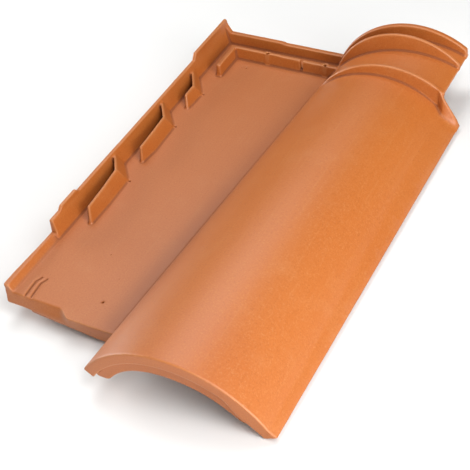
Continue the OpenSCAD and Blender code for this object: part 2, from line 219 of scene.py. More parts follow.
@dataclass
class Lattice:
    """Regular lattice that holds the tile's signed distance, negative inside the clay."""

    low: Point = (-5.0, -3.0, -24.0)
    high: Point = (293.0, 473.0, 69.5)
    step: float = 0.85
    values: Array = field(init=False, repr=False)
    axes: list[Array] = field(init=False, repr=False)

    def __post_init__(self) -> None:
        """Lays out the axes and fills the lattice with empty space."""
        self.axes = [
            np.arange(a + 0.13, b, self.step, dtype=np.float32) for a, b in zip(self.low, self.high)
        ]
        self.values = np.full([len(a) for a in self.axes], FAR, dtype=np.float32)

    def window(self, low: Point, high: Point) -> tuple[Cut, Array, Array, Array]:
        """Part of the lattice that covers a box.

        Args:
            low: lowest corner of the box, mm.
            high: highest corner of the box, mm.

        Returns:
            The slices, then X, Y and Z shaped to broadcast over them.
        """
        cut = []
        for axis, a, b in zip(self.axes, low, high):
            i, j = np.searchsorted(axis, (a, b))
            cut.append(slice(int(i), int(j)))
        x, y, z = (axis[c] for axis, c in zip(self.axes, cut))
        return tuple(cut), x[:, None, None], y[None, :, None], z[None, None, :]

    def join(self, cut: Cut, shape: Array, soft: float) -> None:
        """Adds a shape to the clay with a fillet of size `soft`."""
        self.values[cut] = fuse(self.values[cut], shape, soft)

    def carve(self, cut: Cut, shape: Array, soft: float) -> None:
        """Takes a shape out of the clay with edges rounded by `soft`."""
        self.values[cut] = meet(self.values[cut], -shape, soft)

    def sample(self, values: Array, spots: Array) -> Array:
        """Reads a lattice field between its nodes.

        Formula: the eight nearest nodes, weighted by the product of the three linear fractions.

        Args:
            values: field with the lattice's shape.
            spots: points in mm, one row each.

        Returns:
            One value for each point.
        """
        base = np.array([a[0] for a in self.axes])
        g = (spots - base) / self.step
        top = np.array(values.shape) - 2
        i = np.clip(np.floor(g).astype(np.int64), 0, top)
        f = np.clip(g - i, 0, 1)
        out = np.zeros(len(spots))
        for corner in CORNERS:
            weight = np.where(corner, f, 1 - f).prod(axis=1)
            out += weight * values[tuple((i + corner).T)]
        return out

    def slope(self, spots: Array) -> Array:
        """Unit direction in which the distance grows fastest, from central differences one step wide."""
        grad = np.empty_like(spots)
        for axis in range(3):
            d = np.zeros(3)
            d[axis] = self.step * 0.7
            grad[:, axis] = self.sample(self.values, spots + d) - self.sample(self.values, spots - d)
        return grad / np.maximum(np.linalg.norm(grad, axis=1, keepdims=True), 1e-9)

    def softened(self, reach: int, passes: int) -> Array:
        """The clamped distance after a few running means along each axis.

        Formula: each pass replaces a value by the mean of the 2 * reach + 1 values round it, from the
        difference of a running sum.

        Args:
            reach: half width of the mean, in lattice steps.
            passes: how many times each axis is averaged.

        Returns:
            The smoothed field.
        """
        out = np.clip(self.values, -5, 5)
        width = 2 * reach + 1
        for axis in range(3):
            for _ in range(passes):
                pad = [(0, 0)] * 3
                pad[axis] = (reach + 1, reach)
                total = np.cumsum(np.pad(out, pad, mode="edge"), axis=axis, dtype=np.float32)
                hi = np.take(total, range(width, total.shape[axis]), axis=axis)
                lo = np.take(total, range(0, total.shape[axis] - width), axis=axis)
                out = (hi - lo) / width
        return out

    def seal(self) -> None:
        """Fills the nodes where the skin would touch itself along a line.

        Formula: four neighbouring nodes in a square whose two diagonals differ in sign would make a side
        that four faces share, so the outer ones of the four are set just inside, until none are left.
        """
        while True:
            inside = self.values < 0
            crossed = np.zeros_like(inside)
            for axis in range(3):
                squares = []
                for dp, dq in ((0, 0), (1, 1), (0, 1), (1, 0)):
                    a = [slice(None)] * 3
                    a[(axis + 1) % 3] = slice(dp, dp - 1 or None)
                    a[(axis + 2) % 3] = slice(dq, dq - 1 or None)
                    squares.append(tuple(a))
                c00, c11, c01, c10 = (inside[a] for a in squares)
                tangled = (c00 == c11) & (c01 == c10) & (c00 != c01)
                for a in squares:
                    crossed[a] |= tangled
            crossed &= ~inside
            if not crossed.any():
                return
            log.info("sealed %d nodes", crossed.sum())
            self.values[crossed] = -0.01

    def skin(self) -> tuple[Array, Array]:
        """Closed skin where the distance is zero, by surface nets.

        Formula: one vertex in every cell whose corners differ in sign, at the mean of the zero crossings
        on the cell's twelve sides, and one quad round every lattice side that crosses zero. Each vertex
        then moves along the slope onto the zero level.

        Returns:
            Vertices in mm and quads, facing outwards.
        """
        v = self.values
        inside = v < 0
        mixed = np.zeros([n - 1 for n in v.shape], dtype=np.uint8)
        for corner in CORNERS:
            mixed += inside[tuple(slice(o, o - 1 or None) for o in corner)]
        i, j, k = np.nonzero((mixed > 0) & (mixed < 8))
        number = np.full(mixed.shape, -1, dtype=np.int64)
        number[i, j, k] = np.arange(len(i))
        total = np.zeros((len(i), 3))
        count = np.zeros(len(i))
        for axis in range(3):
            for n in range(4):
                o = [0, 0, 0]
                o[(axis + 1) % 3], o[(axis + 2) % 3] = n & 1, n >> 1
                e = list(o)
                e[axis] = 1
                va = v[i + o[0], j + o[1], k + o[2]]
                vb = v[i + e[0], j + e[1], k + e[2]]
                hit = (va < 0) != (vb < 0)
                t = np.where(hit, va / np.where(hit, va - vb, 1), 0)
                spot = np.tile(np.array(o, dtype=float), (len(i), 1))
                spot[:, axis] = t
                total += np.where(hit[:, None], spot, 0)
                count += hit
        base = np.array([a[0] for a in self.axes])
        verts = (np.stack((i, j, k), axis=1) + total / count[:, None]) * self.step + base
        quads = []
        for axis in range(3):
            p, q = (axis + 1) % 3, (axis + 2) % 3
            a = [slice(1, -1)] * 3
            b = [slice(1, -1)] * 3
            a[axis], b[axis] = slice(0, -1), slice(1, None)
            first, second = inside[tuple(a)], inside[tuple(b)]
            c = np.stack(np.nonzero(first != second), axis=1)
            out = first[tuple(c.T)]
            c[:, p] += 1
            c[:, q] += 1
            ring = []
            for dp, dq in ((-1, -1), (0, -1), (0, 0), (-1, 0)):
                s = c.copy()
                s[:, p] += dp
                s[:, q] += dq
                ring.append(number[tuple(s.T)])
            quad = np.stack(ring, axis=1)
            quads.append(np.where(out[:, None], quad, quad[:, ::-1]))
        for _ in range(2):
            verts -= self.slope(verts) * (self.sample(self.values, verts) * 0.9)[:, None]
        return verts, np.concatenate(quads)


@dataclass
class Seat:
    """How the tile lies on the floor: tipped about Y towards its roll, onto its right edge."""

    tilt: float = 6.57372765408516

    @property
    def trig(self) -> Flat:
        """Sine and cosine of the tilt."""
        return math.sin(math.radians(self.tilt)), math.cos(math.radians(self.tilt))

    @property
    def shift(self) -> Point:
        """Offset from the turned tile to the floor frame, mm."""
        s, c = self.trig
        left, right = UNDERSIDE * s, EDGE_TIP[0] * c + EDGE_TIP[1] * s
        return (-(left + right) / 2, -LENGTH / 2, EDGE_FOOT[0] * s - EDGE_FOOT[1] * c)

    @property
    def turn(self) -> Matrix:
        """Rotation from the tile's frame to the floor frame."""
        return Matrix.Rotation(math.radians(self.tilt), 3, "Y")

    def under(self, x: Array, z: Array) -> Array:
        """Depth of tile points below the floor, mm."""
        s, c = self.trig
        return x * s - z * c - self.shift[2]

    def past(self, x: Array, z: Array) -> Array:
        """Distance of tile points past the upright plane through the tile's right edge, mm."""
        s, c = self.trig
        return (x - EDGE_TIP[0]) * c + (z - EDGE_TIP[1]) * s

    def lay(self, spots: Array) -> Array:
        """Turns tile points in mm into floor points in metres."""
        return (spots @ np.array(self.turn).T + np.array(self.shift)) / 1000

    def aim(self, directions: Array) -> Array:
        """Turns directions from the tile's frame to the floor frame."""
        return directions @ np.array(self.turn).T


@dataclass
class Roll:
    """Large tapered roll: a cone's shell, a straight skirt along the right edge and an inner brace."""

    length: float = 399.6
    front: Point = (202.0, -46.2, 99.7)
    rear: Point = (209.4, -40.2, 86.5)
    wall: float = 10.5
    nose: float = 49.0
    nose_side: tuple[Flat, Flat] = ((110.0, 14.6), (140.0, -7.8))
    skirt: tuple[Flat, ...] = (EDGE_FOOT, EDGE_TIP, (268.0, 23.5), (245.0, 33.0), (256.8, 17.9))
    skirt_slope: float = 0.7523
    notch: Flat = (287.2, 13.9)
    notch_slope: float = 1.604
    flare_left: float = 268.0
    shoulder: Point = (6.0, 264.0, 280.0)
    plate: Point = (3.0, 266.0, 274.0)
    brace_y: Flat = (6.0, 16.0)
    brace_side: tuple[Flat, Flat] = ((120.5, 4.0), (126.3, -2.6))
    brace_depth: float = 21.5
    brace_swell: Point = (7.5, 130.0, 215.0)
    brace_fade: Point = (5.0, 240.0, 276.0)
    brace_drop: float = 3.4
    brace_lift: Point = (6.2, 190.0, 230.0)
    rib: Point = (218.4, -29.3, 87.5)
    joint: Flat = (113.6, 132.8)
    valley_reach: Flat = (16.0, 24.0)

    def radial(self, x: Array, y: Array, z: Array) -> Array:
        """Distance outside the roll's tapered surface.

        Formula: the distance from the sloping axis in the cross-section, less the radius there, both of
        them linear in Y.
        """
        t = y / self.length
        cx, cz, r = (a + (b - a) * t for a, b in zip(self.front, self.rear))
        return np.hypot(x - cx, z - cz) - r

    def valley(self, spots: Array) -> Array:
        """Share of painted shade in the valley between pan and roll, where the roll shades the pan.

        Formula: a bell curve exp(-d * d) over the sideways distance from the line where the roll meets
        the pan, which moves right in step with Y; the bell is wider on the roll's side, and it fades out
        under the pan and on the free nose.

        Args:
            spots: points on the skin, mm, one row each.

        Returns:
            One value between 0 and 1 for each point.
        """
        x, y, z = spots.T
        joint = self.joint[0] + (self.joint[1] - self.joint[0]) * y / self.length
        reach = np.where(x < joint, self.valley_reach[0], self.valley_reach[1])
        bell = np.exp(-(((x - joint) / reach) ** 2))
        return bell * rise(z, -3.0, -0.5) * rise(y, 25.0, 60.0) * (1 - 0.45 * rise(y, 140.0, 340.0))

    def off_edge(self, spots: Array) -> Array:
        """Leaves the long right edge out of the rubbed edges, their painted highlight and the painted
        crease shade: 0 on its corner, 1 away from it.
        """
        return rise(np.hypot(spots[:, 0] - EDGE_TIP[0], spots[:, 2] - EDGE_TIP[1]), 3.0, 12.0)

    def crown(self, x: Array) -> Array:
        """Height of the front rib's top: its circle, solved for Z."""
        return self.rib[1] + np.sqrt(np.maximum(self.rib[2] ** 2 - (x - self.rib[0]) ** 2, 0)) - 0.6

    def shell(self, lat: Lattice) -> None:
        """Adds the roll's outer body, free in front of the pan and closed down to it behind."""
        cut, x, y, z = lat.window((96, -9, -24), (300, 412, 80))
        out = meet(self.radial(x, y, z), between(y, 0.0, self.length + 2.0), 1.5)
        behind = np.where(x < 200, UNDERSIDE - z, -FAR)
        left = np.where(y < self.nose, beyond(x, z, *self.nose_side), behind)
        right = np.maximum(beyond(x, z, EDGE_FOOT, EDGE_TIP), EDGE_FOOT[1] - z)
        right = np.where(x > 200, right, -FAR)
        lat.join(cut, meet(meet(out, left, 1.2), right, 1.2), 2.0)

    def hollow(self, lat: Lattice) -> None:
        """Takes the roll's inside out, up to the back of the front rib."""
        cut, x, y, z = lat.window((96, -9, -30), (300, 410, 60))
        lat.carve(cut, np.maximum(self.radial(x, y, z) + self.wall, y - self.length - 4.0), 0.8)

    def add_skirt(self, lat: Lattice) -> None:
        """Adds the thick bar along the right edge: its section carried along the roll."""
        cut, x, y, z = lat.window((240, -9, -8), (300, 410, 60))
        section = outline_distance(x, z, self.skirt) + 0.0 * y
        lat.join(cut, meet(section, between(y, 0.0, self.length), 1.4), 0.6)

    def add_flare(self, lat: Lattice) -> None:
        """Adds the flare where the skirt ends at the neck.

        Formula: at each height clay fills the last stretch before the roll's end. The stretch is the
        plate's thickness plus a reach that shrinks with the square root of the share of the height from
        the skirt's slope up to the notch's edge. Both grow in from the rib towards the right edge.
        """
        cut, x, y, z = lat.window((250, 360, -4), (300, 406, 60))
        base = EDGE_TIP[1] + (EDGE_TIP[0] - x) * self.skirt_slope
        top = np.minimum(self.notch[1] + (self.notch[0] - x) * self.notch_slope, self.crown(x))
        reach, thick = (most * rise(x, low, high) for most, low, high in (self.shoulder, self.plate))
        climb = np.sqrt(np.clip((z - base) / np.maximum(top - base, 0.5), 0, 1))
        flare = (self.length - thick - reach * (1 - climb) - y) * 0.6
        flare = meet(flare, y - self.length, 1.0)
        flare = meet(flare, (z - top) * 0.7, 1.4)
        flare = np.maximum(flare, beyond(x, z, EDGE_FOOT, EDGE_TIP))
        flare = meet(flare, beyond(x, z, EDGE_TIP, self.notch), 1.0)
        flare = np.maximum(flare, np.maximum(base - 3.0 - z, self.flare_left - x))
        flare = np.maximum(flare, -self.radial(x, y, z) - self.wall)
        lat.join(cut, flare, 2.0)

    def add_brace(self, lat: Lattice) -> None:
        """Adds the brace inside the nose.

        Formula: a ring inside the shell, whose depth swells towards the crown and fades to the right, and
        whose lower edge lifts to the right, each by a smooth step of X.
        """
        cut, x, y, z = lat.window((110, -9, -9), (290, 24, 60))
        rho = self.radial(x, y, z)
        swell, fade, lift = (
            most * rise(x, low, high)
            for most, low, high in (self.brace_swell, self.brace_fade, self.brace_lift)
        )
        depth = self.brace_depth + swell - fade
        ring = meet(rho + self.wall - 1.5, -depth - rho, 2.0)
        ring = meet(ring, between(y, *self.brace_y), 2.4)
        ring = meet(ring, beyond(x, z, *self.brace_side), 1.4)
        ring = meet(ring, lift - self.brace_drop - z, 2.0)
        lat.join(cut, ring, 1.0)


@dataclass
class Neck:
    """Narrow neck behind the roll with two arched ribs and the end wall."""

    start: float = 399.6
    end: float = LENGTH
    arch: Point = (228.2, -61.5, 111.0)
    wall: float = 10.5
    side: float = 272.3
    knife: tuple[Flat, Flat, Flat] = ((242.3, UNDERSIDE), (256.3, 28.8), (272.3, 37.8))
    ribs: tuple[tuple[float, ...], ...] = (
        (218.4, -29.3, 87.5, 399.6, 403.6),
        (218.4, -12.1, 78.0, 443.0, 447.0),
        (221.0, -25.2, 88.8, 464.0, LENGTH),
    )

    def keep(self, x: Array, z: Array) -> Array:
        """Distance past the neck's right-hand limits: its upright side and the knife edge's facets."""
        under = fuse(beyond(x, z, *self.knife[:2]), beyond(x, z, *self.knife[1:]), 3.0)
        return meet(under, x - self.side, 1.2)

    def arched(self, x: Array, z: Array, cx: float, cz: float, r: float) -> Array:
        """Distance outside a level cylinder: the distance from its axis in the cross-section, less r."""
        return np.hypot(x - cx, z - cz) - r

    def add(self, lat: Lattice) -> None:
        """Adds the neck, the ribs and the end wall."""
        cut, x, y, z = lat.window((118, 385, -24), (290, 480, 80))
        body = self.arched(x, z, *self.arch) + 0.0 * y
        body = np.maximum(body, np.maximum(self.start + 1.0 - y, y - self.end))
        body = meet(body, self.keep(x, z), 1.2)
        lat.join(cut, np.maximum(body, UNDERSIDE - z), 1.6)
        for n, (cx, cz, r, y0, y1) in enumerate(self.ribs):
            rib = self.arched(x, z, cx, cz, r) + 0.0 * y
            rib = meet(rib, between(y, y0, y1), 1.7)
            limit = self.keep(x, z) if n else meet(x - self.side, EDGE_FOOT[1] - z, 3.0)
            lat.join(cut, np.maximum(meet(rib, limit, 1.8), UNDERSIDE - z), 1.5)

    def hollow(self, lat: Lattice) -> None:
        """Takes out the neck's inside, behind the front rib."""
        cut, x, y, z = lat.window((118, 396, -30), (300, 480, 60))
        inner = self.arched(x, z, self.arch[0], self.arch[1], self.arch[2] - self.wall) + 0.0 * y
        lat.carve(cut, np.maximum(inner, self.start + 3.0 - y), 1.4)


@dataclass
class Pan:
    """Flat water pan with its stepped front edge, front lip and the nib that hangs on the batten."""

    reach: float = 154.4
    left: float = 55.5
    right: float = 46.8
    step: Flat = (57.0, 70.0)
    lean: float = 3.2
    lean_x: Flat = (17.0, 96.0)
    lean_depth: float = 11.0
    lip: Point = (24.0, 119.4, 4.5)
    nib: tuple[Point, Point] = ((45.0, 420.0, -20.464), (85.0, 436.0, -10.0))

    def front(self, x: Array, z: Array) -> Array:
        """Where the front face stands at x and z.

        Formula: the stepped line above, the straight line below, mixed by a smooth step over the height.
        """
        upper = self.left + (self.right - self.left) * rise(x, self.step[0] - 1, self.step[1] + 1)
        along = np.clip((x - self.lean_x[0]) / (self.lean_x[1] - self.lean_x[0]), 0, 1)
        lower = self.left - self.lean + (self.right - self.left + self.lean) * along
        return lower + (upper - lower) * np.clip((z + self.lean_depth) / self.lean_depth, 0, 1)

    def add(self, lat: Lattice) -> None:
        """Adds the slab and the lip under its front edge."""
        cut, x, y, z = lat.window((-9, 36, -24), (166, 480, 9))
        side = meet(-x - splay(y, z), self.front(x, z) - y, 2.4)
        side = np.maximum(meet(side, y - LENGTH, 1.6), x - self.reach)
        lat.join(cut, meet(side, between(z, UNDERSIDE, 0.0), 1.1), 2.0)
        cut, x, y, z = lat.window((15, 36, -24), (130, 75, -4))
        a, b, drop = self.lip
        lower = self.front(x, np.float32(UNDERSIDE)) + 1.6
        lip = meet(lower - y, y - self.left - 8.0, 1.5)
        lip = meet(lip, between(x, a, b), 2.5)
        lip = meet(lip, np.abs(z + 12 + drop / 2 - 2) - drop / 2 - 2, 1.5)
        lat.join(cut, lip, 1.2)

    def hang(self, lat: Lattice) -> None:
        """Adds the nib: a short block under the head end."""
        lo, hi = self.nib
        cut, x, y, z = lat.window((lo[0] - 8, lo[1] - 8, -30), (hi[0] + 8, hi[1] + 8, -4))
        block = meet(between(x, lo[0], hi[0]), between(y, lo[1], hi[1]), 3.0)
        lat.join(cut, np.maximum(meet(block, lo[2] - z, 2.4), z - hi[2]), 3.0)


@dataclass
class SideWall:
    """Left wall: a drafted fin whose top steps up from the front to the head.

    Each pair is a size of the high wall and of the low front part: widths at foot and top, height of the
    inner face's lean and its cosine. The low part ends between the two values of low_end.
    """

    foot: Flat = (8.0, 7.3)
    top: Flat = (3.7, 3.2)
    lean: Flat = (19.8, 6.4)
    cosine: Flat = (0.977, 0.857)
    low_end: Flat = (126.5, 129.5)
    front: float = 55.5
    round: float = 1.6
    crest: tuple[Flat, ...] = (
        (40.0, -6.0), (40.0, 4.8), (130.0, 4.8),
        (130.5, 18.2), (143.6, 18.2), (147.4, 21.9), (169.6, 21.9), (173.4, 18.2), (396.6, 18.2),
        (401.2, 24.9), (468.4, 24.9), (468.4, -6.0),
    )

    def add(self, lat: Lattice) -> None:
        """Adds the wall.

        Formula: the side profile, drawn small and grown by the rounding, carried across the tile and met
        with the outer face and with an inner face that leans from the foot's width to the top's.
        """
        cut, x, y, z = lat.window((-9, 46, -4), (20, 480, 40))
        side = outline_distance(y, z, self.crest) - self.round
        low = 1 - rise(y, *self.low_end)
        pairs = (self.foot, self.top, self.lean, self.cosine)
        foot, top, lean, cosine = (a + (b - a) * low for a, b in pairs)
        inner = (x - (foot + (top - foot) * np.clip(z / lean, 0, 1))) * cosine
        wall = meet(-x - splay(y, z), self.front - y, 2.4)
        wall = meet(np.maximum(wall, ROOTED - z), inner, 1.2)
        lat.join(cut, meet(wall, side + 0.0 * x, 1.1), 1.4)


@dataclass
class Deflectors:
    """Three bent fins that throw driven rain back into the pan."""

    feet: tuple[tuple[Flat, ...], ...] = (
        ((23.2, 157.0), (23.8, 187.0), (22.5, 221.0), (5.5, 242.0)),
        ((21.8, 251.8), (24.1, 271.0), (22.6, 309.5), (5.5, 331.0)),
        ((21.2, 343.0), (22.7, 368.0), (5.5, 394.0)),
    )
    tops: tuple[tuple[Flat, ...], ...] = (
        ((21.4, 161.5), (19.9, 188.0), (17.0, 215.0), (3.5, 235.0)),
        ((21.4, 254.4), (20.6, 272.6), (18.5, 303.5), (3.5, 325.0)),
        ((18.6, 348.0), (18.2, 364.0), (3.5, 388.5)),
    )
    heights: Point = (16.8, 16.4, 13.5)
    half_foot: float = 1.9
    half_top: float = 1.25

    def add(self, lat: Lattice) -> None:
        """Adds the fins.

        Formula: the plan distance from a bent line that slides from its foot to its top with height, less
        a half width that tapers the same way.
        """
        for feet, tops, h in zip(self.feet, self.tops, self.heights):
            low, high = feet[0][1] - 12, feet[-1][1] + 12
            cut, x, y, z = lat.window((-6, low, -4), (34, high, 30))
            t = np.clip(z / h, -0.1, 1.05)
            line = [(f[0] + (c[0] - f[0]) * t, f[1] + (c[1] - f[1]) * t) for f, c in zip(feet, tops)]
            best = np.full(np.broadcast(x, y, z).shape, 1e6, dtype=np.float32)
            for a, b in zip(line, line[1:]):
                best = np.minimum(best, stroke(x, y, a, b))
            half = self.half_foot + (self.half_top - self.half_foot) * np.clip(t, 0, 1)
            fin = meet(np.sqrt(best) - half, z - h, 1.0)
            lat.join(cut, np.maximum(fin, ROOTED - z), 1.6)

    def pockets(self, spots: Array) -> Array:
        """How deep points lie in the pockets between the fins and the wall, 0 to 1, for the painted shade
        there.

        Formula: inside a pocket, a smooth step along the fin from its front to its bend, times one minus
        a smooth step over its height. Inside means between the fin's ends and left of its foot line.

        Args:
            spots: points on the skin, mm, one row each.

        Returns:
            One value for each point.
        """
        x, y, z = spots.T
        deep = np.zeros(len(spots))
        for feet, h in zip(self.feet, self.heights):
            xs, ys = zip(*feet)
            line = np.interp(y, ys, xs)
            inside = (x < line - 1.0) & (y > ys[0]) & (y < ys[-1]) & (z > -1.0)
            along = rise(y, ys[0] - 4.0, ys[-2])
            deep = np.maximum(deep, inside * along * (1 - rise(z, 0.3 * h, 1.05 * h)))
        return deep


@dataclass
class HeadBars:
    """Back wall, and the inner weather bar with its short leg, drain slit and two nail holes."""

    back: tuple[Flat, ...] = (
        (0.0, ROOTED), (149.0, ROOTED), (149.0, 11.4), (75.5, 11.4),
        (69.5, 12.7), (9.4, 12.7), (2.0, 24.6), (0.0, 25.2),
    )
    back_y: Flat = (464.0, LENGTH)
    bar_y: Flat = (440.0, 445.4)
    bar_z: float = 12.9
    leg: Point = (21.8, 28.2, 404.0)
    end: float = 149.0
    slit: Flat = (102.8, 105.8)
    holes: Flat = (65.0, 131.0)
    hole_y: float = 443.0
    hole_r: float = 1.6
    boss_r: float = 3.8
    bump: Point = (0.5, 68.0, 79.0)
    dip: Point = (0.5, 104.0, 112.0)

    def front(self, z: Array) -> Array:
        """Where the bar's leaning front face stands at height z."""
        return self.bar_y[0] + 0.09 * np.clip(z, 0, 14)

    def add(self, lat: Lattice) -> None:
        """Adds the back wall, its outline carried along Y, and the bar with its leg."""
        cut, x, y, z = lat.window((-9, 452, -4), (160, 480, 40))
        wall = outline_distance(x, z, self.back) + 0.0 * y
        wall = meet(wall, self.back_y[0] - y + 0.045 * z, 1.2)
        wall = np.maximum(wall, y - self.back_y[1])
        lat.join(cut, np.maximum(wall, ROOTED - z), 1.5)
        cut, x, y, z = lat.window((12, 396, -4), (160, 456, 22))
        high, start, stop = self.bump
        top = self.bar_z + high * (rise(x, start - 1, start + 1) - rise(x, stop - 1, stop + 1))
        top = top - self.dip[0] * rise(x, self.dip[1], self.dip[2])
        bar = meet(self.front(z) - y, y - self.bar_y[1] + 0.03 * z, 1.1)
        bar = np.maximum(meet(bar, self.leg[0] - x, 1.2), x - self.end)
        leg = meet(self.leg[0] + 0.05 * z - x, x - self.leg[1] + 0.07 * z, 1.2)
        leg = meet(leg, self.leg[2] + 0.12 * z - y, 2.0)
        leg = np.maximum(leg, y - self.bar_y[1] + 1)
        both = meet(fuse(bar, leg, 2.0), z - top, 1.1)
        lat.join(cut, np.maximum(both, ROOTED - z), 1.6)
        for hole in self.holes:
            cut, x, y, z = lat.window((hole - 10, 430, -4), (hole + 10, 456, 22))
            boss = meet(np.hypot(x - hole, y - self.hole_y - 0.4) - self.boss_r, z - self.bar_z, 1.6)
            boss = np.maximum(boss, self.front(z) - y)
            lat.join(cut, np.maximum(boss, ROOTED - z), 1.6)

    def pierce(self, lat: Lattice) -> None:
        """Takes out the drain slit and the nail holes, which go down through the pan."""
        cut, x, y, z = lat.window((self.slit[0] - 6, 430, 2), (self.slit[1] + 6, 456, 22))
        lat.carve(cut, np.maximum(between(x, *self.slit), 2.4 - z) + 0.0 * y, 0.4)
        for hole in self.holes:
            cut, x, y, z = lat.window((hole - 6, 434, -24), (hole + 6, 452, 22))
            bore = np.hypot(x - hole, y - self.hole_y) - self.hole_r
            lat.carve(cut, bore + 0.0 * z, 0.3)

    def bores(self, spots: Array) -> Array:
        """Marks points in the nail holes and the drain slit for their painted shade: 1 inside, 0 outside.
        """
        x, y, z = spots.T
        near = [np.hypot(x - hole, y - self.hole_y) - self.hole_r for hole in self.holes]
        slit = np.maximum(between(x, *self.slit), between(y, self.bar_y[0] + 0.1, self.bar_y[1] - 0.1))
        return 1 - rise(np.minimum(np.minimum(*near), np.maximum(slit, 1.0 - z)), 0.3, 0.9)


@dataclass
class PressMarks:
    """Small marks from the press mould and the clay: two shallow slots, and pits where air escaped."""

    slots: tuple[tuple[Flat, Flat, Flat], ...] = (
        ((19.8, 54.5), (18.3, 75.2), (20.9, 80.6)),
        ((25.9, 54.5), (23.9, 74.6), (26.5, 80.4)),
    )
    pits: tuple[Point, ...] = (
        (88.0, 75.5, 1.3), (86.5, 104.6, 0.7), (63.2, 128.5, 0.7), (46.0, 427.8, 1.0),
        (40.7, 427.3, 0.7), (25.6, 221.8, 1.2), (24.9, 311.9, 1.2), (25.4, 369.9, 1.1),
    )
    depth: float = 1.05
    lift: float = 0.3

    def press(self, lat: Lattice) -> None:
        """Takes the slots and pits out of the pan's top."""
        for foot, bend, tip in self.slots:
            cut, x, y, z = lat.window((foot[0] - 8, foot[1] - 8, -4), (tip[0] + 8, tip[1] + 8, 4))
            line = np.minimum(stroke(x, y, foot, bend), stroke(x, y, bend, tip))
            groove = np.sqrt(line + (z - self.lift) ** 2) - self.lift - self.depth
            lat.carve(cut, groove, 0.4)
        for px, py, r in self.pits:
            cut, x, y, z = lat.window((px - 6, py - 6, -4), (px + 6, py + 6, 4))
            pit = np.sqrt((x - px) ** 2 + (y - py) ** 2 + (z - 0.2) ** 2 / 4) - r
            lat.carve(cut, pit, 0.3)


@dataclass
class ClayBody:
    """The whole tile as one closed skin of fired clay."""

    seat: Seat
    roll: Roll = field(default_factory=Roll)
    neck: Neck = field(default_factory=Neck)
    pan: Pan = field(default_factory=Pan)
    wall: SideWall = field(default_factory=SideWall)
    fins: Deflectors = field(default_factory=Deflectors)
    head: HeadBars = field(default_factory=HeadBars)
    marks: PressMarks = field(default_factory=PressMarks)
    triangles: int = 190000
    worn: Flat = (0.05, 0.045)
    pocket_shade: float = 1.9
    bore_shade: float = 2.0

    def sculpt(self) -> Lattice:
        """Works out the tile's signed distance.

        Formula: the pieces are added and carved in order, clipped to the tile's outer faces, and worn
        back by a small depth that the mean of three slow sine waves varies.

        Returns:
            The filled lattice.
        """
        lat = Lattice()
        pan, roll, neck, head = self.pan, self.roll, self.neck, self.head
        solids = (pan.add, roll.shell, neck.add, self.wall.add, self.fins.add, head.add)
        finish = (roll.add_skirt, roll.add_flare, roll.add_brace, pan.hang, head.pierce, self.marks.press)
        for work in (*solids, roll.hollow, neck.hollow, *finish):
            work(lat)
        cut, x, y, z = lat.window((-9, -9, -30), (310, 490, 90))
        sides = (-x - splay(y, z), -y, x - WIDTH, y - LENGTH)
        for face in (*sides, self.seat.under(x, z), self.seat.past(x, z)):
            lat.values = np.maximum(lat.values, face + 0.02)
        sway = (
            np.sin(x / 17.0 + 1.3 * np.sin(y / 41.0))
            + np.sin(y / 23.0 + 0.8 * np.sin(x / 29.0) + 1.7)
            + np.sin((x + y) / 13.0 + z / 19.0)
        )
        lat.values += (self.worn[0] + self.worn[1] * sway / 3).astype(np.float32)
        lat.seal()
        return lat

    def thinned(self, verts: Array, quads: Array) -> bpy.types.Object:
        """Puts the skin into the scene, thinned to the wanted number of triangles.

        Args:
            verts: the skin's vertices, mm.
            quads: its faces.

        Returns:
            The object, still in mm.
        """
        raw = mesh_of("skin", verts, quads)
        obj = put("clay_body", raw)
        thin = obj.modifiers.new("thin", "DECIMATE")
        thin.ratio = min(1.0, self.triangles / (2 * len(quads)))
        graph = bpy.context.evaluated_depsgraph_get()
        obj.data = bpy.data.meshes.new_from_object(obj.evaluated_get(graph))
        obj.data.name = "clay_body"
        obj.modifiers.clear()
        bpy.data.meshes.remove(raw)
        return obj

    def shades(self, lat: Lattice, spots: Array) -> tuple[Array, Array, Array]:
        """Works out where the clay is rubbed, and where painted edge highlights and painted shade go.

        Formula: the rubbed-edge value, which also paints the edge highlight and the crease shade, is the
        distance smoothed over a short reach less the distance itself, and the hollow value, a painted
        shade, is the distance smoothed over a long reach, lowered in the pockets and bores.

        Args:
            lat: the filled lattice.
            spots: points on the skin, mm, one row each.

        Returns:
            One row of values for each of SHADES.
        """
        wear_highlight_crease_shade = lat.sample(lat.softened(1, 3), spots) - lat.sample(lat.values, spots)
        hollow = lat.sample(lat.softened(10, 2), spots)
        # painted shade: the pockets behind the fins, the nail holes and the slit are darkened further
        hollow -= self.pocket_shade * self.fins.pockets(spots) + self.bore_shade * self.head.bores(spots)
        return wear_highlight_crease_shade * self.roll.off_edge(spots), hollow, self.roll.valley(spots)

    def build(self) -> bpy.types.Object:
        """Makes the skin's mesh, thins it, gives it its shade attributes and lays it on the floor.

        Returns:
            The finished object.
        """
        lat = self.sculpt()
        verts, quads = lat.skin()
        log.info("skin: %d vertices, %d quads", len(verts), len(quads))
        obj = self.thinned(verts, quads)
        mesh = obj.data
        co = np.empty(len(mesh.vertices) * 3)
        mesh.vertices.foreach_get("co", co)
        spots = co.reshape(-1, 3)
        normals = self.seat.aim(lat.slope(spots))
        for name, values in zip(SHADES, self.shades(lat, spots)):
            layer = mesh.attributes.new(name, "FLOAT", "POINT")
            layer.data.foreach_set("value", values.astype(np.float32))
        mesh.vertices.foreach_set("co", self.seat.lay(spots).ravel())
        mesh.polygons.foreach_set("use_smooth", np.ones(len(mesh.polygons), dtype=bool))
        mesh.update()
        mesh.normals_split_custom_set_from_vertices(normals.tolist())
        log.info("clay_body: %d triangles after thinning", len(mesh.polygons))
        return obj


